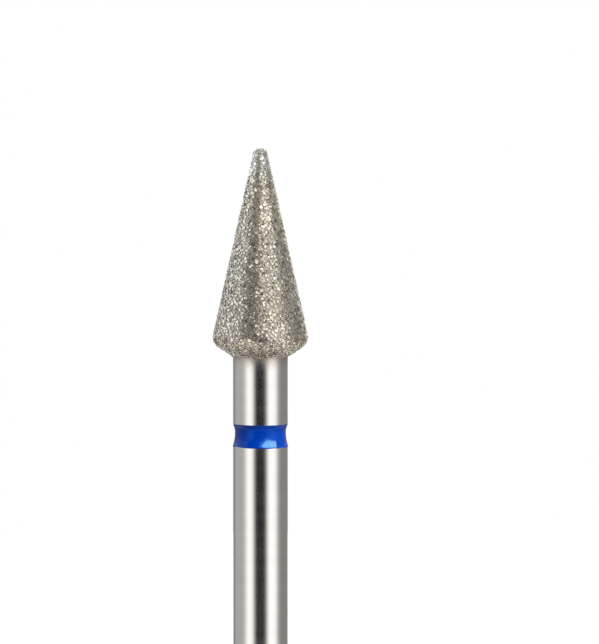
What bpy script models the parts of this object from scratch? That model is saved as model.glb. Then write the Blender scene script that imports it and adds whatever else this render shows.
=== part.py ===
"""A cone-headed diamond bur on a plain 2.35 mm straight-handpiece shank.

The bur's axis is +Z, with the flat end of its shank at the origin and its tip up. It has three pieces.
The steel blank is turned from one bar, and is the shank, the neck and the core of the head. The grit
coating is a crust of diamond grains, plated over that core. The grade ring is lacquer in a shallow
groove. Each is a turned shape, so each is a half outline, in radius and height, spun about the axis.
Lengths are in metres and angles are in degrees.
"""

import math

import bpy
from mathutils import Vector

# The blank
OVERALL_LENGTH = 0.0445
SHANK_DIAMETER = 0.00235
END_CHAMFER = 0.0002

# The head, measured over the grit
HEAD_LENGTH = 0.00895
HEAD_DIAMETER = 0.00408
SHOULDER_RADIUS = 0.00056
BACK_TAPER_ANGLE = 33.5
TIP_DIAMETER = 0.00057
TIP_RADIUS = 0.00018

# The grit coating, from the core's surface to the tops of the tallest grains
COATING_THICKNESS = 0.00015
GRAIN_HEIGHT = 0.00005
GRAIN_WIDTH = 0.00012

# The groove for the grade ring, and the lacquer in it, which is thinnest at its waist
NECK_LENGTH = 0.0029
GROOVE_WIDTH = 0.0009
GROOVE_DEPTH = 0.0002
GROOVE_FLANK = 0.00004
LACQUER_THICKNESS = 0.00012
LACQUER_LIP = 0.00001
WAIST_DROP = 0.00034

# How far apart the faces of two neighbouring pieces stand
SEAT_GAP = 0.00001

# How finely the round stretches are cut into facets
TURNS = 64
ARC_STEPS = 6
GRAIN_PITCH = 0.00016
CORE_PITCH = 0.002
MERGE_DISTANCE = 0.0000005

SHANK_RADIUS = SHANK_DIAMETER / 2
HEAD_BASE = OVERALL_LENGTH - HEAD_LENGTH
GROOVE_TOP = HEAD_BASE - NECK_LENGTH
GROOVE_BOTTOM = GROOVE_TOP - GROOVE_WIDTH
GROOVE_FLOOR = SHANK_RADIUS - GROOVE_DEPTH


def side(normal_angle, through):
    """A straight side of an outline: its outward normal, and how far along it the side lies."""
    normal = Vector((math.cos(normal_angle), math.sin(normal_angle)))
    return normal, normal.dot(through)


def crossing(first, second):
    """The point where two sides cross."""
    (a, a_reach), (b, b_reach) = first, second
    spread = a.x * b.y - a.y * b.x
    return Vector(((a_reach * b.y - b_reach * a.y) / spread, (b_reach * a.x - a_reach * b.x) / spread))


def fillet(before, corner, after, radius):
    """The arc that rounds a corner, with its ends no further along than half of the shorter stretch."""
    arrive = (corner - before).normalized()
    leave = (after - corner).normalized()
    turn = arrive.angle(leave)
    inward = (leave - arrive * arrive.dot(leave)).normalized()
    shortest = min((corner - before).length, (after - corner).length)
    reach = min(radius * math.tan(turn / 2), shortest / 2)
    fitted = reach / math.tan(turn / 2)
    start = corner - arrive * reach
    angles = [turn * step / ARC_STEPS for step in range(ARC_STEPS + 1)]
    return [start + fitted * (math.sin(a) * arrive + (1 - math.cos(a)) * inward) for a in angles]


def rounded_outline(corners):
    """The outline through corners given as (point, radius), where a radius of 0 leaves one sharp."""
    points = [corners[0][0]]
    for (before, _), (corner, radius), (after, _) in zip(corners, corners[1:], corners[2:]):
        points += fillet(before, corner, after, radius) if radius else [corner]
    return points + [corners[-1][0]]


def subdivided(points, pitch):
    """The same outline, with no stretch longer than the pitch."""
    dense = [points[0]]
    for start, end in zip(points, points[1:]):
        parts = math.ceil((end - start).length / pitch)
        dense += [start.lerp(end, part / parts) for part in range(1, parts + 1)]
    return dense


def head_outline(depth, neck_radius):
    """The head's corners, from the axis at the tip to a neck of this radius, set in by a depth.

    At depth 0 the shoulder's arc is widest at the head's radius. The back taper runs from that arc to
    the shank's surface at the head's base, and the cone runs from it to the edge of the tip's flat end.
    """
    back_angle = math.radians(BACK_TAPER_ANGLE)
    tip_edge = Vector((TIP_DIAMETER / 2, OVERALL_LENGTH))
    neck_corner = Vector((SHANK_RADIUS, HEAD_BASE))
    arc_radius = HEAD_DIAMETER / 2 - SHOULDER_RADIUS
    arc_rise = (math.sin(back_angle) * (arc_radius - SHANK_RADIUS) + SHOULDER_RADIUS) / math.cos(back_angle)
    to_tip_edge = tip_edge - Vector((arc_radius, HEAD_BASE + arc_rise))
    cone_angle = math.atan2(to_tip_edge.y, to_tip_edge.x) - math.acos(SHOULDER_RADIUS / to_tip_edge.length)

    def set_in(normal_angle, through):
        """The side at depth 0, moved in along its normal."""
        normal, reach = side(normal_angle, through)
        return normal, reach - depth

    end = set_in(math.pi / 2, tip_edge)
    cone = set_in(cone_angle, tip_edge)
    back = set_in(back_angle - math.pi / 2, neck_corner)
    neck = side(0, Vector((neck_radius, 0)))
    return [
        (Vector((0, OVERALL_LENGTH - depth)), 0),
        (crossing(end, cone), max(TIP_RADIUS - depth, 0)),
        (crossing(cone, back), max(SHOULDER_RADIUS - depth, 0)),
        (crossing(back, neck), 0),
    ]


def groove_outline(gap):
    """The groove's outline from its upper to its lower edge, set in by a gap on every face."""
    return [
        Vector((SHANK_RADIUS, GROOVE_TOP - gap)),
        Vector((GROOVE_FLOOR + gap, GROOVE_TOP - GROOVE_FLANK - gap)),
        Vector((GROOVE_FLOOR + gap, GROOVE_BOTTOM + GROOVE_FLANK + gap)),
        Vector((SHANK_RADIUS, GROOVE_BOTTOM + gap)),
    ]


def blank_outline():
    """From the core's tip, down the head, neck, groove and shank, to the axis at the flat end."""
    core = rounded_outline(head_outline(COATING_THICKNESS, SHANK_RADIUS))
    end = [
        Vector((SHANK_RADIUS, END_CHAMFER)),
        Vector((SHANK_RADIUS - END_CHAMFER, 0)),
        Vector((0, 0)),
    ]
    return core + groove_outline(0) + end


def coating_outlines():
    """The coating's outer side, down from the tip, and its inner side, back up to the tip.

    The outer side lies at the foot of the grains, which are raised from it afterwards. Both sides end
    on the neck, where the coating runs out.
    """
    neck_radius = SHANK_RADIUS + SEAT_GAP
    outer = rounded_outline(head_outline(GRAIN_HEIGHT, neck_radius))
    inner = rounded_outline(head_outline(COATING_THICKNESS - SEAT_GAP, neck_radius))
    return subdivided(outer, GRAIN_PITCH), subdivided(inner, CORE_PITCH)[::-1]


def lacquer_outline():
    """The lacquer's section: its hollow outer face, downwards, and then the back that fills the groove.

    The hollow is two half parabolas. They meet at the waist, and each rises to one edge of the groove.
    """
    top, floor_top, floor_bottom, bottom = groove_outline(SEAT_GAP)
    lip_share = LACQUER_LIP / (SHANK_RADIUS - floor_top.x)
    top = top.lerp(floor_top, lip_share)
    bottom = bottom.lerp(floor_bottom, lip_share)
    waist = Vector((GROOVE_FLOOR + LACQUER_THICKNESS, GROOVE_TOP - WAIST_DROP))

    def half_parabola(edge):
        """From the waist to an edge of the groove: outwards as the square of the way along."""
        shares = [step / ARC_STEPS for step in range(ARC_STEPS + 1)]
        return [
            Vector((waist.x + (edge.x - waist.x) * share**2, waist.y + (edge.y - waist.y) * share))
            for share in shares
        ]

    return half_parabola(top)[::-1] + half_parabola(bottom)[1:] + [floor_bottom, floor_top]


def material(name, colour, metallic, roughness):
    """A Principled material in one colour."""
    made = bpy.data.materials.new(name)
    made.use_nodes = True
    shader = made.node_tree.nodes["Principled BSDF"]
    shader.inputs["Base Color"].default_value = (*colour, 1)
    shader.inputs["Metallic"].default_value = metallic
    shader.inputs["Roughness"].default_value = roughness
    made.diffuse_color = (*colour, 1)
    return made


def turned(name, outline, finish, collection, closed=False):
    """An object whose outline is spun about the axis. A closed outline comes back to its first point."""
    count = len(outline)
    edges = [(k, k + 1) for k in range(count - 1)] + ([(count - 1, 0)] if closed else [])
    mesh = bpy.data.meshes.new(name)
    mesh.from_pydata([(point.x, 0, point.y) for point in outline], edges, [])
    mesh.materials.append(finish)
    made = bpy.data.objects.new(name, mesh)
    collection.objects.link(made)
    spin = made.modifiers.new("Spin", "SCREW")
    spin.axis = "Z"
    spin.angle = 2 * math.pi
    spin.steps = TURNS
    spin.render_steps = TURNS
    spin.use_merge_vertices = True
    spin.merge_threshold = MERGE_DISTANCE
    return made


def raise_grains(coating, outer_count):
    """Lifts each point of the coating's outer side by its own share of a grain's height.

    The last point of the outer side lies on the neck, and stays there.
    """
    grit = coating.vertex_groups.new(name="outer_side")
    grit.add(list(range(outer_count - 1)), 1.0, "REPLACE")
    grains = bpy.data.textures.new("grains", "CLOUDS")
    grains.noise_basis = "CELL_NOISE"
    grains.noise_scale = GRAIN_WIDTH
    grains.noise_depth = 0
    lift = coating.modifiers.new("Grains", "DISPLACE")
    lift.texture = grains
    lift.texture_coords = "LOCAL"
    lift.vertex_group = grit.name
    lift.mid_level = 0
    lift.strength = GRAIN_HEIGHT


def make_blank(collection):
    """The steel blank: shank, groove, neck and the head's core, turned in one piece."""
    steel = material("turned_steel", (0.62, 0.61, 0.60), 1.0, 0.22)
    return turned("steel_blank", blank_outline(), steel, collection)


def make_coating(collection):
    """The crust of diamond grit over the head, left unsmoothed so that its grains have edges."""
    grit = material("diamond_grit", (0.46, 0.44, 0.40), 0.8, 0.45)
    outer, inner = coating_outlines()
    coating = turned("grit_coating", outer + inner, grit, collection)
    coating.modifiers["Spin"].use_smooth_shade = False
    raise_grains(coating, len(outer))
    return coating


def make_ring(collection):
    """The blue lacquer ring that tells the grade of the grit."""
    lacquer = material("blue_lacquer", (0.005, 0.06, 0.48), 0.0, 0.18)
    return turned("grade_ring", lacquer_outline(), lacquer, collection, closed=True)


def main():
    for old in list(bpy.data.objects):
        bpy.data.objects.remove(old)
    collection = bpy.data.collections.new("diamond_bur")
    bpy.context.scene.collection.children.link(collection)
    make_blank(collection)
    make_coating(collection)
    make_ring(collection)


main()
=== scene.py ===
"""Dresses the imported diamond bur: polished steel, nickel bond, diamond crystals, blue lacquer and studio.

Every length is in metres and every angle in radians, unless a property's unit says otherwise. The bur's
axis is +Z, with the shank's end at the origin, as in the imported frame.
"""

import itertools
import math

import bpy
import numpy as np
from bpy.props import FloatProperty, FloatVectorProperty, IntProperty, PointerProperty
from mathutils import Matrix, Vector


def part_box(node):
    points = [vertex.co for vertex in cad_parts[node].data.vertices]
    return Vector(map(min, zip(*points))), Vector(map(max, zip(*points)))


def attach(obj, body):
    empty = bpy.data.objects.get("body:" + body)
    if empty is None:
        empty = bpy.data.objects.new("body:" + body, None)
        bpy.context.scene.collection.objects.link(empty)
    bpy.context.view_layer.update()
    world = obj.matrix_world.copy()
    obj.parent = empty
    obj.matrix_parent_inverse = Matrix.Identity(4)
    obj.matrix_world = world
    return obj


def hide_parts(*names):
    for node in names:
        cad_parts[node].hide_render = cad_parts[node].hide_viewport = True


bl_info = {
    "name": "Diamond Bur Finish",
    "version": (1, 0, 0),
    "blender": (4, 5, 0),
    "location": "View3D > Sidebar > Bur",
    "description": "Steel, diamond grit, lacquer and studio for a cone-headed bur",
    "category": "Object",
}

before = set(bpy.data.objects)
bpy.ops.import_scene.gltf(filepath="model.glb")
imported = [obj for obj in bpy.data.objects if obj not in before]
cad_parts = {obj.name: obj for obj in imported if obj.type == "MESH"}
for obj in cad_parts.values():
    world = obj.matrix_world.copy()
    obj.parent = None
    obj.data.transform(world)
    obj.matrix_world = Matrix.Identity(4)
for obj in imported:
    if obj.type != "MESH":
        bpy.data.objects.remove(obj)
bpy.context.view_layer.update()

BODY = "root"
MM = 0.001


def node_points(node):
    """A CAD node's points, as rows of x, y and z."""
    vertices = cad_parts[node].data.vertices
    points = np.zeros(len(vertices) * 3)
    vertices.foreach_get("co", points)
    return points.reshape(-1, 3)


BLANK_LOW, BLANK_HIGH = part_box("steel_blank")
RING_LOW, RING_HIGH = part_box("grade_ring")
RING_MIDDLE = (RING_LOW.z + RING_HIGH.z) / 2
BLANK_POINTS = node_points("steel_blank")
BLANK_RADII = np.hypot(BLANK_POINTS[:, 0], BLANK_POINTS[:, 1])
SHANK_RADIUS = float(BLANK_RADII[BLANK_POINTS[:, 2] < RING_LOW.z].max())
CORE_TIP = BLANK_HIGH.z
END_RADIUS = float(BLANK_RADII[BLANK_POINTS[:, 2] < BLANK_LOW.z + 0.01 * MM].max())


def millimetres(name, description, default):
    """A length property whose default is given in millimetres."""
    default = default * MM
    return FloatProperty(name=name, description=description, default=default, unit="LENGTH", precision=6)


def degrees(name, description, default):
    """An angle property whose default is given in degrees."""
    return FloatProperty(name=name, description=description, default=math.radians(default), unit="ROTATION")


def brightness(name, description, default):
    """A brightness property, where 1 is white paper."""
    return FloatProperty(name=name, description=description, default=default, min=0)


def finish_colour(name, description, default):
    """A colour property with three channels from 0 to 1."""
    return FloatVectorProperty(
        name=name, description=description, default=default, size=3, min=0, max=1, subtype="COLOR"
    )


class ShankSettings(bpy.types.PropertyGroup):
    """Sizes and finish of the turned steel blank."""

    lip_rounding: millimetres("Lip Rounding", "Radius of the groove's and the end's lips", 0.02)
    groove_depth: millimetres("Groove Depth", "How deep the ring's groove is turned into the shank", 0.2)
    groove_flank: millimetres("Groove Flank", "How far each side of the groove slopes along the axis", 0.04)
    steel: finish_colour("Steel", "Colour of the polished steel", (0.738, 0.709, 0.676))
    polish: FloatProperty(
        name="Polish Roughness", description="Roughness of the polished steel", default=0.2, min=0, max=1
    )
    # The nickel film's reach down the neck, whose tint also carries painted shade and a painted reflection of
    # the head.
    overplate_and_shade: millimetres("Overplate", "How far the bond's thin nickel runs down the neck as a stain", 0.66)
    segments: IntProperty(name="Segments", description="Facets round the blank", default=256, min=64)


class GritSettings(bpy.types.PropertyGroup):
    """Sizes and finish of the diamond grit on the head."""

    head_length: millimetres("Head Length", "Length of the head's outline, from the neck to the tip", 8.96)
    head_width: millimetres("Head Width", "Widest size of the head's outline", 4.08)
    tip_width: millimetres("Tip Width", "Width of the outline's blunt tip", 0.535)
    tip_rounding: millimetres("Tip Rounding", "Radius of the tip's edge", 0.3)
    shoulder_rounding: millimetres("Shoulder Rounding", "Radius of the widest edge of the head", 0.56)
    back_taper: degrees("Back Taper", "Angle of the head's underside from a flat face", 33.5)
    proud: millimetres("Proud Grains", "How far the tallest grains stand over the head's outline", 0.018)
    coating: millimetres("Coating Thickness", "From the steel core to the head's outline", 0.15)
    bond_depth: millimetres("Bond Depth", "How far the nickel lies under the head's outline", 0.05)
    bond_relief: millimetres("Bond Relief", "Height of the nickel's own lumps", 0.03)
    ragged_edge: millimetres("Ragged Edge", "How far the nickel runs unevenly down the neck", 0.12)
    crystal_size: millimetres("Crystal Size", "Mean width of the large diamond crystals", 0.158)
    crystal_count: IntProperty(name="Crystals", description="Number of large crystals", default=3800, min=0)
    chip_size: millimetres("Chip Size", "Mean width of the small crystals between them", 0.09)
    chip_count: IntProperty(name="Chips", description="Number of small crystals", default=2600, min=0)
    tilt: degrees("Crystal Tilt", "Typical lean of a crystal from the surface", 6)
    diamond: finish_colour("Diamond", "Mean colour of the crystals", (0.535, 0.485, 0.4))
    # The nickel's colour is darker than clean nickel, partly as painted shade in the gaps between crystals.
    nickel: finish_colour("Nickel", "Colour of the plated bond", (0.33, 0.305, 0.255))


class RingSettings(bpy.types.PropertyGroup):
    """Sizes and finish of the blue lacquer ring."""

    thickness: millimetres("Thickness", "Thickness of the lacquer at its waist", 0.12)
    waist_drop: millimetres("Waist Drop", "How far the waist lies under the ring's upper edge", 0.34)
    top_overlap: millimetres("Top Overlap", "How far the lacquer laps over the upper lip", 0.038)
    overlap: millimetres("Overlap", "How far the lacquer laps over the lower lip", 0.065)
    brush_wave: millimetres("Brush Wave", "Unevenness of the lacquer's edges", 0.008)
    lacquer: finish_colour("Lacquer", "Colour of the lacquer", (0.0001, 0.0132, 0.226))


class StudioSettings(bpy.types.PropertyGroup):
    """The light tent, the floor and the camera."""

    tent_radius: millimetres("Tent Radius", "Distance from the bur to the light tent", 70)
    tent_height: millimetres("Tent Height", "Height of the light tent", 130)
    softbox: brightness("Softbox", "Brightness of the front softbox", 1.47)
    bright_card: brightness("Bright Card", "Brightness of the tent's brightest card", 1.8)
    side_lamp: brightness("Side Lamp", "Brightness of the lamp beside the ring", 36)
    floor: finish_colour("Floor", "Colour of the floor", (0.55, 0.55, 0.55))
    floor_radius: millimetres("Floor Radius", "Radius of the floor", 300)
    lens: FloatProperty(name="Lens", description="Camera lens", default=390, min=1, unit="CAMERA")
    distance: millimetres("Camera Distance", "From the camera to the point it aims at", 299.2)
    elevation: degrees("Camera Elevation", "How far above the horizon the camera stands", 3.6)
    aim: FloatVectorProperty(
        name="Aim",
        description="Point that the camera looks at",
        default=(1.677 * MM, 0, 37.04 * MM),
        size=3,
        unit="LENGTH",
    )


def unit(vectors):
    """The same vectors, each at length one."""
    return vectors / np.linalg.norm(vectors, axis=-1, keepdims=True)


def smooth_step(low, high, value):
    """0 below low, 1 above high, and 3t^2 - 2t^3 between them."""
    share = np.clip((value - low) / (high - low), 0, 1)
    return share * share * (3 - 2 * share)


# Large odd numbers that spread a lattice corner's whole numbers over all the bits of its hash.
HASH_X, HASH_Y, HASH_Z, HASH_SEED, HASH_MIX = 73856093, 19349663, 83492791, 26544357, 1274126177


def lattice_noise(points, cell, seed):
    """Smooth random values from 0 to 1 at points in space.

    Each corner of a cubic lattice has a random value, hashed from its three whole numbers. A point takes
    the mean of its cell's eight corners, weighted by smooth steps along x, y and z.
    """
    scaled = np.asarray(points) / cell
    corner = np.floor(scaled).astype(np.int64)
    share = scaled - corner
    share = share * share * (3 - 2 * share)
    total = np.zeros(scaled.shape[:-1])
    for offset in itertools.product((0, 1), repeat=3):
        x, y, z = np.moveaxis(corner + np.array(offset), -1, 0)
        hashed = (x * HASH_X ^ y * HASH_Y ^ z * HASH_Z ^ seed * HASH_SEED) & 0xFFFFFFFF
        hashed = ((hashed ^ (hashed >> 13)) * HASH_MIX) & 0xFFFFFFFF
        hashed = hashed ^ (hashed >> 16)
        weight = np.where(np.array(offset, bool), share, 1 - share).prod(-1)
        total += weight * (hashed & 0xFFFF) / 0xFFFF
    return total


def mixed_noise(points, broad, fine, seed, share=0.65):
    """Lattice noise at two sizes of cell: this share of the broad one, and the rest of the fine one."""
    return share * lattice_noise(points, broad, seed) + (1 - share) * lattice_noise(points, fine, seed + 1)


def rounded_corners(corners, steps=6, guard=0.004 * MM):
    """An outline through corners given as (radius, height, rounding).

    A corner with a rounding becomes an arc tangent to both of its sides. It takes up at most half of a
    side whose other end is rounded too, and nearly all of one whose other end is sharp. A guard point
    stands just off each end of the arc, or of a sharp corner, so that smooth shading bends only there.
    """
    corners = np.array(corners, float)
    shares = np.where(corners[:, 2] > 0, 0.49, 0.96)
    points = [corners[0, :2]]
    for k in range(1, len(corners) - 1):
        before, corner, after = corners[k - 1 : k + 2, :2]
        rounding = corners[k, 2]
        arrive, leave = unit(corner - before), unit(after - corner)
        turn = math.acos(np.clip(arrive @ leave, -1, 1))
        room = min(
            np.linalg.norm(corner - before) * shares[k - 1],
            np.linalg.norm(after - corner) * shares[k + 1],
        )
        if rounding <= 0:
            shield = min(guard, room / 2)
            points += [corner - arrive * shield, corner, corner + leave * shield]
            continue
        reach = min(rounding * math.tan(turn / 2), room)
        radius = reach / math.tan(turn / 2)
        inward = unit(leave - arrive * (arrive @ leave))
        angles = np.linspace(0, turn, steps + 1)[:, None]
        arc = corner - arrive * reach + radius * (np.sin(angles) * arrive + (1 - np.cos(angles)) * inward)
        shield = min(guard, (room - reach) / 2)
        points += [corner - arrive * (reach + shield), *arc, corner + leave * (reach + shield)]
    points.append(corners[-1, :2])
    return np.array(points)


def spaced_along(outline, spacing):
    """The outline with points added evenly, so that none of its stretches is longer than the spacing."""
    pieces = [outline[:1]]
    for start, end in zip(outline, outline[1:]):
        parts = max(1, math.ceil(np.linalg.norm(end - start) / spacing))
        shares = np.linspace(0, 1, parts + 1)[1:, None]
        pieces.append(start + (end - start) * shares)
    return np.concatenate(pieces)


def evenly_along(outline, count):
    """Points at equal steps of length along an outline, with the outward normal at each.

    The normal is the outline's direction, which runs down from the tip, turned a quarter turn outwards.
    """
    lengths = np.concatenate([[0], np.cumsum(np.linalg.norm(np.diff(outline, axis=0), axis=1))])
    where = np.linspace(0, lengths[-1], count)
    points = np.stack([np.interp(where, lengths, outline[:, k]) for k in (0, 1)], axis=1)
    along = np.gradient(points, axis=0)
    along[0] = (1, 0)
    normals = unit(np.stack([-along[:, 1], along[:, 0]], axis=1))
    return points, normals


def head_base(grit):
    """The height at which the head meets the neck."""
    return CORE_TIP + grit.coating - grit.head_length


def head_outline(grit, depth, neck_radius):
    """The head's outline from the axis at the tip to its neck, set in by a depth along its normals.

    At depth 0 it has a flat tip with a rounded edge, a cone, a shoulder arc that is widest at half of the
    head's width, and a back taper that meets the shank's surface at the head's base. The cone's angle
    makes it tangent to the shoulder arc.
    """
    taper, shoulder = grit.back_taper, grit.shoulder_rounding
    tip, base = CORE_TIP + grit.coating, head_base(grit)
    arc_radius = grit.head_width / 2 - shoulder
    arc_height = base + (math.sin(taper) * (arc_radius - SHANK_RADIUS) + shoulder) / math.cos(taper)
    across, up = grit.tip_width / 2 - arc_radius, tip - arc_height
    cone = math.atan2(up, across) - math.acos(shoulder / math.hypot(across, up))

    def side(angle, radius, height):
        """A straight side through a point: its outward normal, and its reach along that."""
        normal = np.array((math.cos(angle), math.sin(angle)))
        return normal, normal @ (radius, height) - depth

    def crossing(first, second):
        """The point where two sides cross."""
        return np.linalg.solve(np.array((first[0], second[0])), np.array((first[1], second[1])))

    end = side(math.pi / 2, grit.tip_width / 2, tip)
    cone_side = side(cone, grit.tip_width / 2, tip)
    back = side(taper - math.pi / 2, SHANK_RADIUS, base)
    neck = (np.array((1.0, 0.0)), neck_radius)
    return rounded_corners(
        [
            (0, tip - depth, 0),
            (*crossing(end, cone_side), max(grit.tip_rounding - depth, 0)),
            (*crossing(cone_side, back), max(shoulder - depth, 0)),
            (*crossing(back, neck), 0),
        ],
        steps=12,
    )


def turned_points(radii, heights, segments):
    """A turned surface: at angle a, a point of the profile stands at (radius cos a, radius sin a, height).

    The radii and heights are one profile, or one for each of the segments, as columns.
    """
    angles = np.arange(segments) * 2 * math.pi / segments
    radii = np.broadcast_to(radii.reshape(len(radii), -1), (len(radii), segments))
    heights = np.broadcast_to(heights.reshape(len(heights), -1), (len(heights), segments))
    return np.stack([radii * np.cos(angles), radii * np.sin(angles), heights], axis=-1)


def round_the_shank(segments):
    """Points round the shank's surface, where the noise of an uneven edge is read."""
    return turned_points(np.array([SHANK_RADIUS]), np.array([0.0]), segments)[0]


def ring_quads(rows, segments, closed=False):
    """Four-sided faces between the neighbouring rows of a turned surface, with row k at k x segments."""
    upper = np.arange(rows if closed else rows - 1)[:, None] * segments
    lower = (upper + segments) % (rows * segments)
    here = np.arange(segments)[None]
    after = (here + 1) % segments
    return np.stack([upper + here, lower + here, lower + after, upper + after], axis=-1).reshape(-1, 4)


def pole_fan(first, segments, pole, upwards):
    """Three-sided faces from a pole to one row of points."""
    here = np.arange(segments)
    after = (here + 1) % segments
    pair = (here, after) if upwards else (after, here)
    return np.stack([np.full(segments, pole), first + pair[0], first + pair[1]], axis=-1)


def solid_of_turned(grid, low_pole, high_pole):
    """Points and faces of a turned grid whose first and last rows are each closed by a point on the axis."""
    rows, segments = grid.shape[:2]
    count = rows * segments
    points = np.concatenate([grid.reshape(-1, 3), [high_pole, low_pole]])
    fans = [pole_fan(0, segments, count, True), pole_fan(count - segments, segments, count + 1, False)]
    return points, [ring_quads(rows, segments), *fans]


def mesh_piece(name, points, faces, finish, slot=None, stands_for=(), smooth=True, values=None):
    """A mesh object from arrays of points and faces.

    With a slot it rides on the bur's one body, and without one it stays unattached. The values are
    named numbers, one for each point, which the finish reads as attributes.
    """
    mesh = bpy.data.meshes.new(name)
    sizes = np.concatenate([np.full(len(group), group.shape[1]) for group in faces])
    corners = np.concatenate([group.ravel() for group in faces])
    starts = np.concatenate([[0], np.cumsum(sizes)[:-1]])
    mesh.vertices.add(len(points))
    mesh.vertices.foreach_set("co", np.ascontiguousarray(points, np.float32).ravel())
    mesh.loops.add(len(corners))
    mesh.loops.foreach_set("vertex_index", corners.astype(np.int32))
    mesh.polygons.add(len(sizes))
    mesh.polygons.foreach_set("loop_start", starts.astype(np.int32))
    mesh.polygons.foreach_set("use_smooth", np.full(len(sizes), smooth))
    for title, numbers in (values or {}).items():
        attribute = mesh.attributes.new(title, "FLOAT", "POINT")
        attribute.data.foreach_set("value", np.ascontiguousarray(numbers, np.float32))
    mesh.update(calc_edges=True)
    mesh.validate()
    mesh.materials.append(finish)
    piece = bpy.data.objects.new(name, mesh)
    bpy.context.scene.collection.objects.link(piece)
    if slot:
        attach(piece, BODY)
    if stands_for:
        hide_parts(*stands_for)
    return piece


def new_finish(name, constants):
    """A material with its node tree and its Principled shader, on whose sockets the constants are set."""
    finish = bpy.data.materials.new(name)
    finish.use_nodes = True
    shader = finish.node_tree.nodes["Principled BSDF"]
    for socket, value in constants.items():
        shader.inputs[socket].default_value = value
    return finish, finish.node_tree, shader


def bare_finish(name):
    """A material with an empty node tree."""
    finish = bpy.data.materials.new(name)
    finish.use_nodes = True
    finish.node_tree.nodes.clear()
    return finish, finish.node_tree


def add_node(tree, kind, inputs=None, **settings):
    """A node with its settings and inputs. An input given as a socket is linked, and any other is set."""
    made = tree.nodes.new("ShaderNode" + kind)
    for setting, value in settings.items():
        setattr(made, setting, value)
    for socket, value in (inputs or {}).items():
        if isinstance(value, bpy.types.NodeSocket):
            tree.links.new(value, made.inputs[socket])
        else:
            made.inputs[socket].default_value = value
    return made


def object_coordinates(tree):
    """A piece's own coordinates, in metres."""
    return add_node(tree, "TexCoord").outputs["Object"]


def mottling(tree, cells, detail, roughness=0.5):
    """Noise over a piece's own coordinates, with this many cells to a metre along x, y and z."""
    place = add_node(tree, "Mapping", {"Vector": object_coordinates(tree), "Scale": cells})
    inputs = {"Vector": place.outputs["Vector"], "Scale": 1, "Detail": detail, "Roughness": roughness}
    return add_node(tree, "TexNoise", inputs).outputs["Fac"]


def calculated(tree, operation, *values, clamp=False):
    """The result of one calculation on numbers."""
    made = add_node(tree, "Math", dict(enumerate(values)), operation=operation, use_clamp=clamp)
    return made.outputs["Value"]


def ranged(tree, value, start, end, low=0.0, high=1.0):
    """A value that goes evenly from low at the start to high at the end, and stays there beyond them."""
    inputs = {"Value": value, "From Min": start, "From Max": end, "To Min": low, "To Max": high}
    return add_node(tree, "MapRange", inputs).outputs["Result"]


def give_bumps(tree, shader, height, strength, distance):
    """Bumps on a finish, where the pattern of heights stands up by at most the distance."""
    made = add_node(tree, "Bump", {"Strength": strength, "Distance": distance, "Height": height})
    tree.links.new(made.outputs["Normal"], shader.inputs["Normal"])


def ramp(tree, value, stops):
    """A colour ramp with stops of (position, colour)."""
    made = add_node(tree, "ValToRGB", {"Fac": value})
    elements = made.color_ramp.elements
    elements[0].position, elements[0].color = stops[0][0], (*stops[0][1], 1)
    elements[1].position, elements[1].color = stops[-1][0], (*stops[-1][1], 1)
    for position, colour in stops[1:-1]:
        elements.new(position).color = (*colour, 1)
    return made.outputs["Color"]


def share_of_height(tree, low, high):
    """How far up a piece a point lies: 0 at the low height and 1 at the high one."""
    height = add_node(tree, "SeparateXYZ", {"Vector": object_coordinates(tree)}).outputs["Z"]
    return ranged(tree, height, low, high)


def multiplied(tree, first, second):
    """The product of two colours."""
    made = add_node(tree, "VectorMath", {0: first, 1: second}, operation="MULTIPLY")
    return made.outputs["Vector"]


# The nickel's tint by share of the head's height: darker and browner underneath as painted shade, straw up
# the cone, pale and cool at the tip as painted light.
PLATING_TINTS_AND_PAINTED_LIGHT = [
    (0.0, (0.7, 0.67, 0.655)),
    (0.1, (0.885, 0.87, 0.87)),
    (0.5, (0.892, 0.885, 0.87)),
    (0.8, (0.958, 0.95, 0.92)),
    (0.93, (1.03, 1.08, 1.15)),
    (1.0, (1.06, 1.12, 1.2)),
]
# How the film of nickel on the neck tints the steel, from none to the thickest, and the roughness it adds.
# Its darker tints are also painted shade and a painted warm reflection of the head.
STAIN_AND_SHADE_TINTS = [
    (0.0, (1, 1, 1)),
    (0.16, (0.95, 0.94, 0.925)),
    (0.34, (0.88, 0.855, 0.815)),
    (0.55, (0.79, 0.76, 0.71)),
    (1.0, (0.57, 0.52, 0.46)),
]
STAIN_ROUGHNESS = 0.19
# How much blotches vary the reach of the nickel film and its painted shade in all, and how much the polish
# varies each way.
BLOTCHINESS, POLISH_SPREAD = 0.7, 0.012
# The darkest and the palest crystals.
OLIVE_BROWN, PALE_STRAW = (0.28, 0.25, 0.185), (0.95, 0.91, 0.8)
# Dull nickel mirrors less at a grazing angle than clean metal does, and loses most of the warm light there.
GRAZING_TINT = (0.7, 0.755, 0.85, 1)
# Painted shade on the lacquer by height, darkest along its upper rim, where shade falls under the lip.
LACQUER_RIM_SHADE = [(0.0, (1, 1, 1)), (0.8, (0.95, 0.95, 0.95)), (0.97, (0.5, 0.5, 0.55))]
# The lacquer's film mirrors mostly blue light.
LACQUER_GLOSS = (0.11, 0.41, 1, 1)
# Cells of the patterns to a metre, along x, y and z. Marks from turning run round the axis.
FINE_MARKS, BROAD_MARKS, BLOTCHES = (400, 400, 26000), (300, 300, 2600), (1700,) * 3
BOND_CELLS, CRYSTAL_CELLS, BRUSH_CELLS = (14000,) * 3, (42000,) * 3, (1500, 1500, 3000)


def plating_tint_and_painted_light(tree, grit):
    """The nickel's tint along the head, with painted shade underneath and painted light at the tip."""
    return ramp(tree, share_of_height(tree, head_base(grit), CORE_TIP + grit.coating), PLATING_TINTS_AND_PAINTED_LIGHT)


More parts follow.
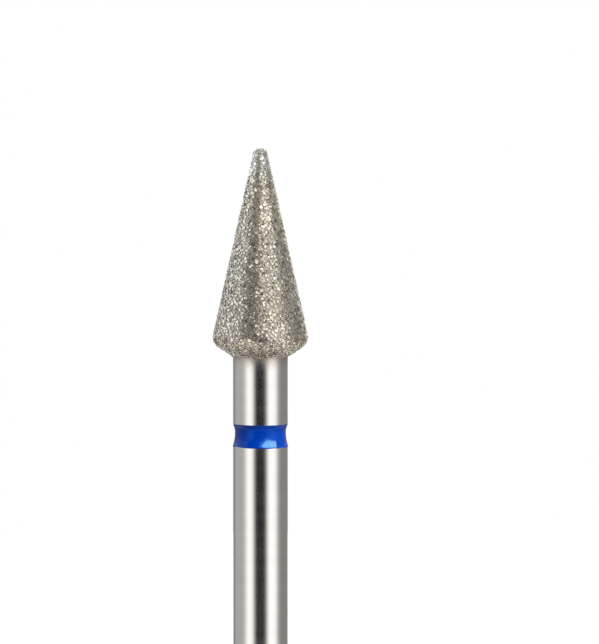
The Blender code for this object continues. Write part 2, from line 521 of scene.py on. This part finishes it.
def tones(colour, *stops):
    """Ramp stops in tones of one colour, from stops of (position, how much lighter or darker)."""
    return [(position, tuple(min(1.0, channel * factor) for channel in colour)) for position, factor in stops]


def turned_steel(shank, grit):
    """Polished steel with faint marks from turning, which run round the axis and so vary only along it.

    Just under the head, a thin film of the bond's nickel warms and dulls it, and its tint also stands in for
    painted shade and a painted warm reflection of the head. It grows with the height, and blotches carry it
    further down in one place than in another.
    """
    finish, tree, shader = new_finish("turned_steel", {"Metallic": 1})
    broad = mottling(tree, BROAD_MARKS, 3)
    tone = ramp(tree, broad, tones(shank.steel, (0.3, 0.975), (0.7, 1.015)))
    base = head_base(grit)
    up = share_of_height(tree, base - shank.overplate_and_shade, base)
    blotches = mottling(tree, BLOTCHES, 2)
    uneven = calculated(tree, "MULTIPLY_ADD", blotches, BLOTCHINESS, -BLOTCHINESS / 2)
    reach = calculated(tree, "ADD", up, uneven, clamp=True)
    # The film's tint also darkens here as painted shade and a painted warm reflection of the head.
    stain_and_shade = calculated(tree, "MULTIPLY", reach, up)
    tint = ramp(tree, stain_and_shade, STAIN_AND_SHADE_TINTS)
    tree.links.new(multiplied(tree, tone, tint), shader.inputs["Base Color"])
    polish = ranged(tree, broad, 0.3, 0.7, shank.polish - POLISH_SPREAD, shank.polish + POLISH_SPREAD)
    dull = calculated(tree, "MULTIPLY_ADD", stain_and_shade, STAIN_ROUGHNESS, polish)
    tree.links.new(dull, shader.inputs["Roughness"])
    give_bumps(tree, shader, mottling(tree, FINE_MARKS, 2, 0.6), 0.5, 0.0006 * MM)
    return finish


def nickel_bond(grit):
    """Plated nickel, warm and dull, mottled at the size of the grains that it holds. It is darker than clean
    nickel, partly as painted shade in the gaps between the grains.
    """
    constants = {"Metallic": 0.9, "Roughness": 0.42, "Specular Tint": GRAZING_TINT}
    finish, tree, shader = new_finish("nickel_bond", constants)
    mottle = mottling(tree, BOND_CELLS, 3, 0.65)
    tone = ramp(tree, mottle, tones(grit.nickel, (0.3, 0.85), (0.5, 1.5), (0.72, 2.2)))
    # The tint by height paints shade on the head's underside and light on its tip.
    tree.links.new(multiplied(tree, tone, plating_tint_and_painted_light(tree, grit)), shader.inputs["Base Color"])
    give_bumps(tree, shader, mottle, 0.8, 0.006 * MM)
    return finish


def diamond_crystals(grit):
    """Nickel-skinned diamond. Each crystal has its own tone, from olive brown to pale straw."""
    constants = {"Metallic": 0.85, "Roughness": 0.26, "Specular Tint": GRAZING_TINT}
    finish, tree, shader = new_finish("diamond_crystals", constants)
    tone = add_node(tree, "Attribute", attribute_name="tone").outputs["Fac"]
    stops = [(0.0, OLIVE_BROWN), *tones(grit.diamond, (0.35, 1.3), (0.7, 1.66)), (1.0, PALE_STRAW)]
    # The crystals take the same tint by height, with its painted shade underneath and painted light at the
    # tip.
    colour = multiplied(tree, ramp(tree, tone, stops), plating_tint_and_painted_light(tree, grit))
    tree.links.new(colour, shader.inputs["Base Color"])
    give_bumps(tree, shader, mottling(tree, CRYSTAL_CELLS, 2), 0.3, 0.003 * MM)
    return finish


def blue_lacquer(ring):
    """Deep blue lacquer with a wet gloss and faint brush unevenness, and painted shade along its upper rim.
    """
    constants = {"Roughness": 0.16, "Specular IOR Level": 0.55, "Specular Tint": LACQUER_GLOSS}
    finish, tree, shader = new_finish("blue_lacquer", constants)
    cloud = mottling(tree, BRUSH_CELLS, 2)
    colour = ramp(tree, cloud, tones(ring.lacquer, (0.3, 0.82), (0.7, 1.12)))
    # The ramp by height is painted shade, darkest along the upper rim.
    depth = ramp(tree, share_of_height(tree, RING_LOW.z, RING_HIGH.z), LACQUER_RIM_SHADE)
    tree.links.new(multiplied(tree, colour, depth), shader.inputs["Base Color"])
    give_bumps(tree, shader, cloud, 0.4, 0.004 * MM)
    return finish


# The longest stretch between two rows of the blank's points, and how close to the axis counts as on it.
LONGEST_STRETCH, ON_AXIS = 1.5 * MM, 0.0001 * MM


class BUR_OT_dress_shank(bpy.types.Operator):
    """Turn the polished steel blank: the shank, the groove, the neck and the head's core"""

    bl_idname = "bur.dress_shank"
    bl_label = "Dress Shank"
    bl_options = {"REGISTER"}

    def execute(self, context):
        """The blank's outline, from the core's tip down to the flat end, is turned about the axis."""
        shank, grit = context.scene.bur_shank, context.scene.bur_grit
        lip = shank.lip_rounding
        floor = SHANK_RADIUS - shank.groove_depth
        top, bottom = RING_HIGH.z, RING_LOW.z
        core = head_outline(grit, grit.coating, SHANK_RADIUS)
        corners = [
            (*core[-3], 0),
            (*core[-1], 0),
            (SHANK_RADIUS, top, lip),
            (floor, top - shank.groove_flank, 0),
            (floor, bottom + shank.groove_flank, 0),
            (SHANK_RADIUS, bottom, lip),
            (SHANK_RADIUS, SHANK_RADIUS - END_RADIUS, lip),
            (END_RADIUS, 0, lip),
            (0, 0, 0),
        ]
        outline = spaced_along(np.concatenate([core[:-3], rounded_corners(corners)]), LONGEST_STRETCH)
        ringed = outline[outline[:, 0] > ON_AXIS]
        grid = turned_points(ringed[:, 0], ringed[:, 1], shank.segments)
        points, faces = solid_of_turned(grid, (0, 0, 0), (0, 0, outline[0, 1]))
        finish = turned_steel(shank, grit)
        mesh_piece("polished_blank", points, faces, finish, "turned_steel", ["steel_blank"])
        return {"FINISHED"}


# How far the bond's outer side stands over the neck, and its inner sleeve over the core and the neck.
BOND_OVER_NECK, SLEEVE_OVER_CORE, SLEEVE_OVER_NECK = 0.02 * MM, 0.01 * MM, 0.002 * MM
SLEEVE_ROWS = 24
# The bond's skirt on the neck starts this far under the head. Its rows are given by their share of the way
# down to the ragged edge and their height over the steel.
SKIRT_STARTS = 0.004 * MM
BOND_SKIRT = np.array([(0.35, 0.016), (0.7, 0.012), (1.0, 0.005), (1.0, -0.004)]) * (1, MM)


class BUR_OT_lay_bond(bpy.types.Operator):
    """Lay the plated nickel that holds the diamond grit, with its lumps and its ragged lower edge"""

    bl_idname = "bur.lay_bond"
    bl_label = "Lay Nickel Bond"
    bl_options = {"REGISTER"}

    rows: IntProperty(name="Rows", description="Rows of points down the head", default=270, min=32)
    segments: IntProperty(name="Segments", description="Points round the head", default=310, min=32)

    def execute(self, context):
        """The outer side is the head's outline, moved along its normals by lattice noise at two sizes.

        Its last rows run down the neck to an edge whose height is noise round the axis. The inner side
        follows the steel core, just clear of it.
        """
        grit = context.scene.bur_grit
        outline = head_outline(grit, grit.bond_depth, SHANK_RADIUS + BOND_OVER_NECK)
        points, normals = evenly_along(outline, self.rows)
        points, normals = points[1:], normals[1:]
        grid = turned_points(points[:, 0], points[:, 1], self.segments)
        lift = (mixed_noise(grid, 0.11 * MM, 0.045 * MM, 3) - 0.5) * 2 * grit.bond_relief
        around = round_the_shank(self.segments)
        run = grit.ragged_edge * mixed_noise(around, 0.3 * MM, 0.09 * MM, 5, share=0.6)
        shares, proud = BOND_SKIRT[:, :1], BOND_SKIRT[:, 1:]
        skirt_radii = np.broadcast_to(SHANK_RADIUS + proud, (len(proud), self.segments))
        skirt_heights = outline[-1, 1] - SKIRT_STARTS - shares * run
        outer_grid = turned_points(
            np.concatenate([points[:, :1] + normals[:, :1] * lift, skirt_radii]),
            np.concatenate([points[:, 1:] + normals[:, 1:] * lift, skirt_heights]),
            self.segments,
        )
        sleeve = head_outline(grit, grit.coating - SLEEVE_OVER_CORE, SHANK_RADIUS + SLEEVE_OVER_NECK)
        inner = evenly_along(sleeve, SLEEVE_ROWS)[0][:0:-1]
        inner_grid = turned_points(inner[:, 0], inner[:, 1], self.segments)
        tip = CORE_TIP + grit.coating - grit.bond_depth
        points, faces = solid_of_turned(
            np.concatenate([outer_grid, inner_grid]), (0, 0, CORE_TIP + SLEEVE_OVER_CORE), (0, 0, tip)
        )
        mesh_piece("nickel_bond", points, faces, nickel_bond(grit), "diamond_grit", ["grit_coating"])
        return {"FINISHED"}


# How uneven the crystals are. A corner of the rim turns by up to this share of 60 degrees, and stands this
# far out. The top's rim is drawn in and moved aside. Widths, depth and whole size vary between these shares.
CORNER_TURN, CORNER_REACH = 0.32, (0.74, 1.12)
TOP_DRAWN_IN, TOP_ASIDE = (0.58, 0.86), 0.12
STRETCH_LEAST, STRETCH_MOST = (0.8, 0.8, 0.62), (1.2, 1.2, 0.95)
SIZE_SPREAD = (0.72, 1.28)
# The most that a crystal leans, in radians, and how far it strays as a share of the crystals' spacing.
MOST_LEAN, STRAY = 0.9, 0.38


def crystal_blocks(count, random):
    """Many uneven six-sided blocks with flat tops, and the faces that one of them has.

    Point k of a block's lower rim stands at 60 k degrees, moved at random, at a random distance from the
    middle. The upper rim is the same outline, drawn in and moved aside, two units higher.
    """
    angles = np.radians(60) * (np.arange(6) + random.uniform(-CORNER_TURN, CORNER_TURN, (count, 6)))
    reach = random.uniform(*CORNER_REACH, (count, 6))
    rim = np.stack([reach * np.cos(angles), reach * np.sin(angles)], axis=-1)
    drawn = rim * random.uniform(*TOP_DRAWN_IN, (count, 1, 1))
    drawn = drawn + random.uniform(-TOP_ASIDE, TOP_ASIDE, (count, 1, 2))
    level = np.ones((count, 6, 1))
    points = np.concatenate([np.concatenate([rim, -level], -1), np.concatenate([drawn, level], -1)], axis=1)
    here = np.arange(6)
    after = (here + 1) % 6
    fan = np.arange(1, 5)
    faces = [
        np.stack([here, after, after + 6], -1),
        np.stack([here, after + 6, here + 6], -1),
        np.stack([np.full(4, 6), fan + 6, fan + 7], -1),
        np.stack([np.zeros(4, int), fan + 1, fan], -1),
    ]
    return points, np.concatenate(faces)


def scattered_over(outline, count, random, samples=2000):
    """Places over a turned surface, each with the same share of its area.

    Place k stands where k / count of the area lies above it, at k golden angles round the axis, and then
    strays at random. It returns points, outward normals and directions round the axis.
    """
    profile, slopes = evenly_along(outline, samples)
    steps = np.linalg.norm(np.diff(profile, axis=0), axis=1)
    area = np.concatenate([[0], np.cumsum(steps * (profile[1:, 0] + profile[:-1, 0]) * math.pi)])
    spacing = math.sqrt(area[-1] / count)
    share = (np.arange(count) + 0.5) / count * area[-1]
    ticks = np.arange(samples)
    along = np.interp(share, area, ticks)
    along = along + random.uniform(-STRAY, STRAY, count) * spacing / steps.mean()
    along = np.clip(along, 0, samples - 1)
    radius, height, out, up = (np.interp(along, ticks, column) for column in (*profile.T, *slopes.T))
    angle = np.arange(count) * math.pi * (3 - math.sqrt(5))
    angle = angle + random.uniform(-STRAY, STRAY, count) * spacing / np.maximum(radius, spacing)
    cosine, sine = np.cos(angle), np.sin(angle)
    points = np.stack([radius * cosine, radius * sine, height], axis=-1)
    normals = unit(np.stack([out * cosine, out * sine, up], axis=-1))
    rounds = np.stack([-sine, cosine, np.zeros(count)], axis=-1)
    return points, normals, rounds


def crystal_field(places, sizes, sinks, tilt, random):
    """Points and faces of many crystals, each spun, leant and stretched at random.

    A crystal's own axes are the surface's normal, leant by a normally distributed angle, and two
    directions across it. Its top stands under the given place by its sink.
    """
    centres, normals, rounds = places
    count = len(centres)
    forms, faces = crystal_blocks(count, random)
    across = unit(np.cross(normals, rounds))
    lean = np.tan(np.clip(random.normal(0, tilt, (count, 2, 1)), -MOST_LEAN, MOST_LEAN))
    up = unit(normals + lean[:, 0] * rounds + lean[:, 1] * across)
    spin = random.uniform(0, 2 * math.pi, (count, 1))
    first = unit(rounds - up * (rounds * up).sum(-1, keepdims=True))
    second = np.cross(up, first)
    right = first * np.cos(spin) + second * np.sin(spin)
    ahead = np.cross(up, right)
    stretch = random.uniform(STRETCH_LEAST, STRETCH_MOST, (count, 3)) * sizes[:, None] / 2
    local = forms * stretch[:, None]
    points = (
        local[..., :1] * right[:, None] + local[..., 1:2] * ahead[:, None] + local[..., 2:] * up[:, None]
    )
    top = (points * normals[:, None]).sum(-1).max(1)
    points = points + (centres - normals * (top + sinks)[:, None])[:, None]
    numbered = faces[None] + np.arange(count)[:, None, None] * forms.shape[1]
    return points.reshape(-1, 3), [numbered.reshape(-1, 3)]


class BUR_OT_set_grains(bpy.types.Operator):
    """Set the diamond crystals into the nickel: the large ones, and the small chips between them"""

    bl_idname = "bur.set_grains"
    bl_label = "Set Diamond Grains"
    bl_options = {"REGISTER"}

    seed: IntProperty(name="Seed", description="Starting number of the random scatter", default=11, min=0)

    def execute(self, context):
        """Both layers are scattered over the head's outline. Their tops' sinks are in millimetres."""
        grit = context.scene.bur_grit
        finish = diamond_crystals(grit)
        outline = head_outline(grit, -grit.proud, SHANK_RADIUS + grit.crystal_size / 4)
        layers = [
            # piece, number, mean size, least and most sink, darkest and palest tone
            ("diamond_grains", grit.crystal_count, grit.crystal_size, (0.0, 0.035), (0.1, 1.0)),
            # The chips sit deeper, in the gaps between the large crystals, and their darker tones there are
            # painted shade.
            ("diamond_chips", grit.chip_count, grit.chip_size, (0.045, 0.075), (0.0, 0.85)),
        ]
        for index, (name, count, size, sink, tone) in enumerate(layers):
            random = np.random.default_rng(self.seed + index)
            places = scattered_over(outline, count, random)
            sizes = size * random.uniform(*SIZE_SPREAD, count)
            sinks = random.uniform(*sink, count) * MM
            points, faces = crystal_field(places, sizes, sinks, grit.tilt, random)
            values = {"tone": np.repeat(random.uniform(*tone, count), len(points) // count)}
            mesh_piece(name, points, faces, finish, "diamond_grit", smooth=False, values=values)
        return {"FINISHED"}


# The laps of lacquer over the groove's upper and lower lips, row by row: height over the steel in
# millimetres, and share of the way from the lip to the lap's edge.
UPPER_LAP = [(-0.006, 1.02), (0.002, 1.0), (0.005, 0.7), (0.005, 0.3)]
LOWER_LAP = [(0.0115, 0.4), (0.0165, 0.8), (0.01, 1.0), (-0.006, 1.04)]
# Where the hollow face ends at the upper and the lower lip: beyond the groove's edge by a share of the lip's
# rounding, and over the steel. Then the rows of points in each half.
PAST_UPPER, PAST_LOWER, UPPER_PROUD, LOWER_PROUD = 0.3, 0.4, 0.003 * MM, 0.004 * MM
UPPER_ROWS, LOWER_ROWS = 15, 21
# How strongly the noise makes the lower lap longer or shorter.
LAP_SPREAD = 1.2
# How far the lacquer's back stays under the shank's surface, over the groove's floor, and inside the lower
# and the upper edge of the groove.
BACK_UNDER, BACK_OVER, BACK_INSIDE = 0.012 * MM, 0.002 * MM, (0.004 * MM, 0.006 * MM)


def hollow_half(waist, lip, shares):
    """Half of the ring's hollow face: from the waist, outwards as the square of the way to a lip.

    The waist and the lip are each a radius and a height.
    """
    return waist[0] + (lip[0] - waist[0]) * shares**2, waist[1] + (lip[1] - waist[1]) * shares


def lap_rows(lap, lip, edge):
    """Radii and heights of a lap's rows, between the heights of its lip and of its uneven edge."""
    radii = np.array([[SHANK_RADIUS + proud * MM] for proud, _ in lap])
    return radii, np.array([lip + (edge - lip) * share for _, share in lap])


class BUR_OT_paint_ring(bpy.types.Operator):
    """Fill the groove with blue lacquer, hollow between its lips and lapping a little over both"""

    bl_idname = "bur.paint_ring"
    bl_label = "Paint Ring"
    bl_options = {"REGISTER"}

    segments: IntProperty(name="Segments", description="Points round the ring", default=256, min=64)

    def execute(self, context):
        """From its waist, the face rises as the square of the way to each edge of the groove.

        The lacquer laps over both lips as a thin film, whose edges wander by noise round the axis. Its
        back follows the groove.
        """
        ring, shank = context.scene.bur_ring, context.scene.bur_shank
        around = round_the_shank(self.segments)
        wander = mixed_noise(around, 0.5 * MM, 0.18 * MM, 8) - 0.5
        other = mixed_noise(around, 0.5 * MM, 0.18 * MM, 12) - 0.5
        rim = RING_HIGH.z + shank.lip_rounding * PAST_UPPER
        top = RING_HIGH.z + ring.top_overlap + wander * 2 * ring.brush_wave
        lip = RING_LOW.z - shank.lip_rounding * PAST_LOWER
        edge = lip - ring.overlap * (1 + LAP_SPREAD * other)
        floor = SHANK_RADIUS - shank.groove_depth
        waist_height = RING_HIGH.z - ring.waist_drop + 0.5 * (wander - other) * ring.brush_wave
        waist = (floor + ring.thickness, waist_height)
        upwards = np.linspace(1, 0, UPPER_ROWS)[:, None]
        downwards = np.linspace(0, 1, LOWER_ROWS)[1:, None]
        back = np.array(
            [
                (SHANK_RADIUS - BACK_UNDER, RING_LOW.z + BACK_INSIDE[0]),
                (floor + BACK_OVER, RING_LOW.z + shank.groove_flank),
                (floor + BACK_OVER, RING_HIGH.z - shank.groove_flank),
                (SHANK_RADIUS - BACK_UNDER, RING_HIGH.z - BACK_INSIDE[1]),
            ]
        )
        parts = [
            lap_rows(UPPER_LAP, rim, top),
            hollow_half(waist, (SHANK_RADIUS + UPPER_PROUD, rim), upwards),
            hollow_half(waist, (SHANK_RADIUS + LOWER_PROUD, lip), downwards),
            lap_rows(LOWER_LAP, lip, edge),
            (back[:, :1], back[:, 1:]),
        ]
        across = np.ones((1, self.segments))
        radii = np.concatenate([part[0] * across for part in parts])
        heights = np.concatenate([part[1] * across for part in parts])
        grid = turned_points(radii, heights, self.segments)
        faces = [ring_quads(len(grid), self.segments, closed=True)]
        finish = blue_lacquer(ring)
        mesh_piece("lacquer_ring", grid.reshape(-1, 3), faces, finish, "blue_lacquer", ["grade_ring"])
        return {"FINISHED"}


# The cards on the tent, as azimuth from and to, how softly they begin and end, all in degrees, and their
# brightness as a share of the softbox's. A later card covers an earlier one. The low ones hang level with
# the shank, the high ones level with what the cone mirrors, and the top ones above. Each set fades into the
# next between two elevations.
LOW_CARDS = [
    (-168, -60, 10, 10, 0.345),
    (-168, -132, 10, 10, 0.2),
    (72, 168, 10, 10, 0.2),
    (-60.8, 68.6, 46, 60, 1.0),
]
HIGH_CARDS = [
    (-176, -20, 4, 4, 0.93),
    (-20, 61, 4, 10, 0.98),
    (61, 128, 10, 10, 0.29),
    (128, 176, 10, 4, 0.7),
    (-176, -122, 4, 10, 0.87),
]
TOP_CARDS = [(-176, 176, 4, 4, 0.2)]
CARDS_MEET, TOP_BEGINS = (2, 10), (42, 46)
# The dark strip is upright low down, and leans aside higher up: middle, half width and softness of its
# edges, and its own faint glow, low and high. Then the elevations between which it leans, and where it ends.
STRIP_LOW, STRIP_HIGH = (0.1, 28.6, 28.0, 0.012), (-30.5, 25.5, 5.0, 0.06)
STRIP_LEAN, STRIP_TOP = (3.0, 18.0), 44
# A brighter card, level with the upper part of the cone's mirror image: azimuths, elevations, soft edge.
BRIGHT_CARD = (12, 68, 26, 40, 4)
# The tent's paper is cooler at the sides than in front and behind: azimuths from and to, soft edges, colour.
COOL_SIDES, COOL_PAPER = (65, 158, 100, 44), (0.79, 0.875, 1)
# The side lamp's elevations, the azimuths of its near edge, low down and high up, and of its far edge. It
# stands at a share of the tent's radius, and its light is warm, because the lacquer mirrors mostly blue.
LAMP_ELEVATIONS, LAMP_NEAR, LAMP_FAR = (12.0, 44.0), (27.0, -21.0), 73.0
LAMP_REACH, LAMP_COLOUR = 0.97, (1.0, 0.66, 0.3, 1)
# The floor's glow: the distances from the bur between which it grows, and its strength at each.
FLOOR_FADES, FLOOR_GLOWS = (20 * MM, 90 * MM), (0.55, 1.0)


def band(value, low, high, begin, stop):
    """1 between low and high, 0 outside, with a smooth step of its own width across each end."""
    rise = smooth_step(low - begin / 2, low + begin / 2, value)
    return rise * (1 - smooth_step(high - stop / 2, high + stop / 2, value))


def hung_with(cards, azimuth, softbox):
    """The brightness of white paper that is covered by each card in turn."""
    glow = np.ones_like(azimuth)
    for start, end, begin, stop, share in cards:
        cover = band(azimuth, start, end, begin, stop)
        glow = glow * (1 - cover) + cover * share * softbox
    return glow


def tent_brightness(azimuth, elevation, studio):
    """The brightness of the tent's wall towards the bur, at azimuths and elevations in degrees.

    The low, high and top cards are mixed by elevation. The bright card covers them, and the dark strip,
    which glows faintly, covers that.
    """
    low, high, top = (
        hung_with(cards, azimuth, studio.softbox) for cards in (LOW_CARDS, HIGH_CARDS, TOP_CARDS)
    )
    rise = smooth_step(*CARDS_MEET, elevation)
    glow = low * (1 - rise) + high * rise
    rise = smooth_step(*TOP_BEGINS, elevation)
    glow = glow * (1 - rise) + top * rise
    start, end, bottom, ceiling, edge = BRIGHT_CARD
    cover = band(azimuth, start, end, edge, edge) * band(elevation, bottom, ceiling, edge, edge)
    glow = glow * (1 - cover) + cover * studio.bright_card
    lean = smooth_step(*STRIP_LEAN, elevation)
    middle, half, edge, strip = (first + (last - first) * lean for first, last in zip(STRIP_LOW, STRIP_HIGH))
    cover = band(azimuth - middle, -half, half, edge, edge) * (elevation < STRIP_TOP)
    return glow * (1 - cover) + cover * strip


def light_tent(studio):
    """A wall round the bur whose points carry the brightness of the cards that hang on it."""
    columns, rows = 360, 100
    azimuths = np.arange(columns) * 360 / columns - 180
    heights = np.linspace(0, studio.tent_height, rows)
    elevations = np.degrees(np.arctan2(heights - RING_MIDDLE, studio.tent_radius))
    angle = np.radians(azimuths)
    circle = np.stack([np.sin(angle), -np.cos(angle)], axis=-1) * studio.tent_radius
    wall = np.broadcast_to(circle, (rows, columns, 2))
    points = np.concatenate([wall, np.broadcast_to(heights[:, None, None], (rows, columns, 1))], axis=-1)
    glow = tent_brightness(azimuths[None], elevations[:, None], studio)
    cool = band(np.abs(azimuths[None]), *COOL_SIDES) * smooth_step(*CARDS_MEET, elevations[:, None])
    finish, tree = bare_finish("tent_light")
    level = add_node(tree, "Attribute", attribute_name="glow").outputs["Fac"]
    coolness = add_node(tree, "Attribute", attribute_name="cool").outputs["Fac"]
    colour = ramp(tree, coolness, [(0.0, (1, 1, 1)), (1.0, COOL_PAPER)])
    light = add_node(tree, "Emission", {"Color": colour, "Strength": level})
    add_node(tree, "OutputMaterial", {"Surface": light.outputs["Emission"]})
    values = {"glow": glow.ravel(), "cool": cool.ravel()}
    tent = mesh_piece("light_tent", points.reshape(-1, 3), [ring_quads(rows, columns)], finish, values=values)
    tent.visible_camera = False


def side_lamp(studio, ring):
    """A curved lamp just inside the tent, whose light only the ring takes, as a snoot would throw it.

    At share s of its height, it spans the azimuths from its slanting near edge to its far edge.
    """
    columns, rows = 25, 13
    rise, along = np.linspace(0, 1, rows)[:, None], np.linspace(0, 1, columns)[None]
    elevation = np.radians(LAMP_ELEVATIONS[0] + (LAMP_ELEVATIONS[1] - LAMP_ELEVATIONS[0]) * rise)
    near = LAMP_NEAR[0] + (LAMP_NEAR[1] - LAMP_NEAR[0]) * rise
    angle = np.radians(near + (LAMP_FAR - near) * along)
    reach = LAMP_REACH * studio.tent_radius
    height = np.broadcast_to(RING_MIDDLE + reach * np.tan(elevation), angle.shape)
    points = np.stack([reach * np.sin(angle), -reach * np.cos(angle), height], axis=-1)
    quads = ring_quads(rows, columns).reshape(rows - 1, columns, 4)[:, :-1].reshape(-1, 4)
    finish, tree = bare_finish("lamp_light")
    light = add_node(tree, "Emission", {"Color": LAMP_COLOUR, "Strength": studio.side_lamp})
    clear = add_node(tree, "BsdfTransparent")
    both = add_node(tree, "AddShader", {0: light.outputs["Emission"], 1: clear.outputs["BSDF"]})
    add_node(tree, "OutputMaterial", {"Surface": both.outputs["Shader"]})
    lamp = mesh_piece("side_lamp", points.reshape(-1, 3), [quads], finish)
    lamp.visible_camera = False
    lit = bpy.data.collections.new("lit_by_side_lamp")
    lit.objects.link(ring)
    lamp.light_linking.receiver_collection = lit


def paper_floor(studio):
    """A round white floor. It takes light and shadow, and glows for the camera and in reflections.

    Ring k of n stands at (k / n) to the power of 1.5 of the radius. The glow makes up what pale paper lacks
    to white, and all of it further out.
    """
    rings, columns = 24, 96
    radii = studio.floor_radius * np.linspace(0, 1, rings + 1)[:0:-1] ** 1.5
    grid = turned_points(radii, np.zeros(rings), columns)
    count = rings * columns
    points = np.concatenate([grid.reshape(-1, 3), [(0, 0, 0)]])
    faces = [ring_quads(rings, columns)[:, ::-1], pole_fan(count - columns, columns, count, True)]
    finish, tree = bare_finish("floor_paper")
    centre = {0: object_coordinates(tree)}
    reach = add_node(tree, "VectorMath", centre, operation="LENGTH").outputs["Value"]
    lift = ranged(tree, reach, *FLOOR_FADES, *FLOOR_GLOWS)
    path = add_node(tree, "LightPath").outputs
    either = calculated(tree, "MAXIMUM", path["Is Camera Ray"], path["Is Glossy Ray"])
    seen = calculated(tree, "MAXIMUM", either, path["Is Transmission Ray"])
    paper = add_node(tree, "BsdfDiffuse", {"Color": (*studio.floor, 1)})
    glow = add_node(tree, "Emission", {"Strength": calculated(tree, "MULTIPLY", seen, lift)})
    both = add_node(tree, "AddShader", {0: paper.outputs["BSDF"], 1: glow.outputs["Emission"]})
    add_node(tree, "OutputMaterial", {"Surface": both.outputs["Shader"]})
    mesh_piece("paper_floor", points, faces, finish)


class BUR_OT_build_studio(bpy.types.Operator):
    """Set up the white surroundings, the light tent, the floor and the camera"""

    bl_idname = "bur.build_studio"
    bl_label = "Build Studio"
    bl_options = {"REGISTER"}

    def execute(self, context):
        """The camera stands back from its aim along its line of sight, which slopes down to the bur."""
        scene, studio = context.scene, context.scene.bur_studio
        scene.view_settings.view_transform = "Standard"
        world = bpy.data.worlds.new("white_surroundings")
        world.use_nodes = True
        background = world.node_tree.nodes["Background"]
        background.inputs["Color"].default_value = (1, 1, 1, 1)
        background.inputs["Strength"].default_value = 1
        scene.world = world
        light_tent(studio)
        side_lamp(studio, bpy.data.objects["lacquer_ring"])
        paper_floor(studio)
        lens = bpy.data.cameras.new("studio_camera")
        lens.lens, lens.sensor_width = studio.lens, 36
        lens.clip_start, lens.clip_end = 0.01, 10
        camera = bpy.data.objects.new("studio_camera", lens)
        scene.collection.objects.link(camera)
        back = np.array((0, -math.cos(studio.elevation), math.sin(studio.elevation)))
        camera.location = np.array(studio.aim) + studio.distance * back
        camera.rotation_euler = (math.pi / 2 - studio.elevation, 0, 0)
        scene.camera = camera
        return {"FINISHED"}


class BUR_PT_finish(bpy.types.Panel):
    """The steps that dress the bur, in order"""

    bl_idname = "BUR_PT_finish"
    bl_label = "Diamond Bur Finish"
    bl_space_type = "VIEW_3D"
    bl_region_type = "UI"
    bl_category = "Bur"

    def draw(self, context):
        for step in STEPS:
            self.layout.operator(step.bl_idname)


STEPS = (
    BUR_OT_dress_shank,
    BUR_OT_lay_bond,
    BUR_OT_set_grains,
    BUR_OT_paint_ring,
    BUR_OT_build_studio,
)
SETTINGS = {
    "bur_shank": ShankSettings,
    "bur_grit": GritSettings,
    "bur_ring": RingSettings,
    "bur_studio": StudioSettings,
}


def register():
    for made in (*SETTINGS.values(), *STEPS, BUR_PT_finish):
        bpy.utils.register_class(made)
    for name, group in SETTINGS.items():
        setattr(bpy.types.Scene, name, PointerProperty(type=group))


def unregister():
    for name in SETTINGS:
        delattr(bpy.types.Scene, name)
    for made in (BUR_PT_finish, *reversed(STEPS), *reversed(SETTINGS.values())):
        bpy.utils.unregister_class(made)


def main():
    register()
    bpy.ops.bur.dress_shank()
    bpy.ops.bur.lay_bond()
    bpy.ops.bur.set_grains()
    bpy.ops.bur.paint_ring()
    bpy.ops.bur.build_studio()


if __name__ == "__main__":
    main()
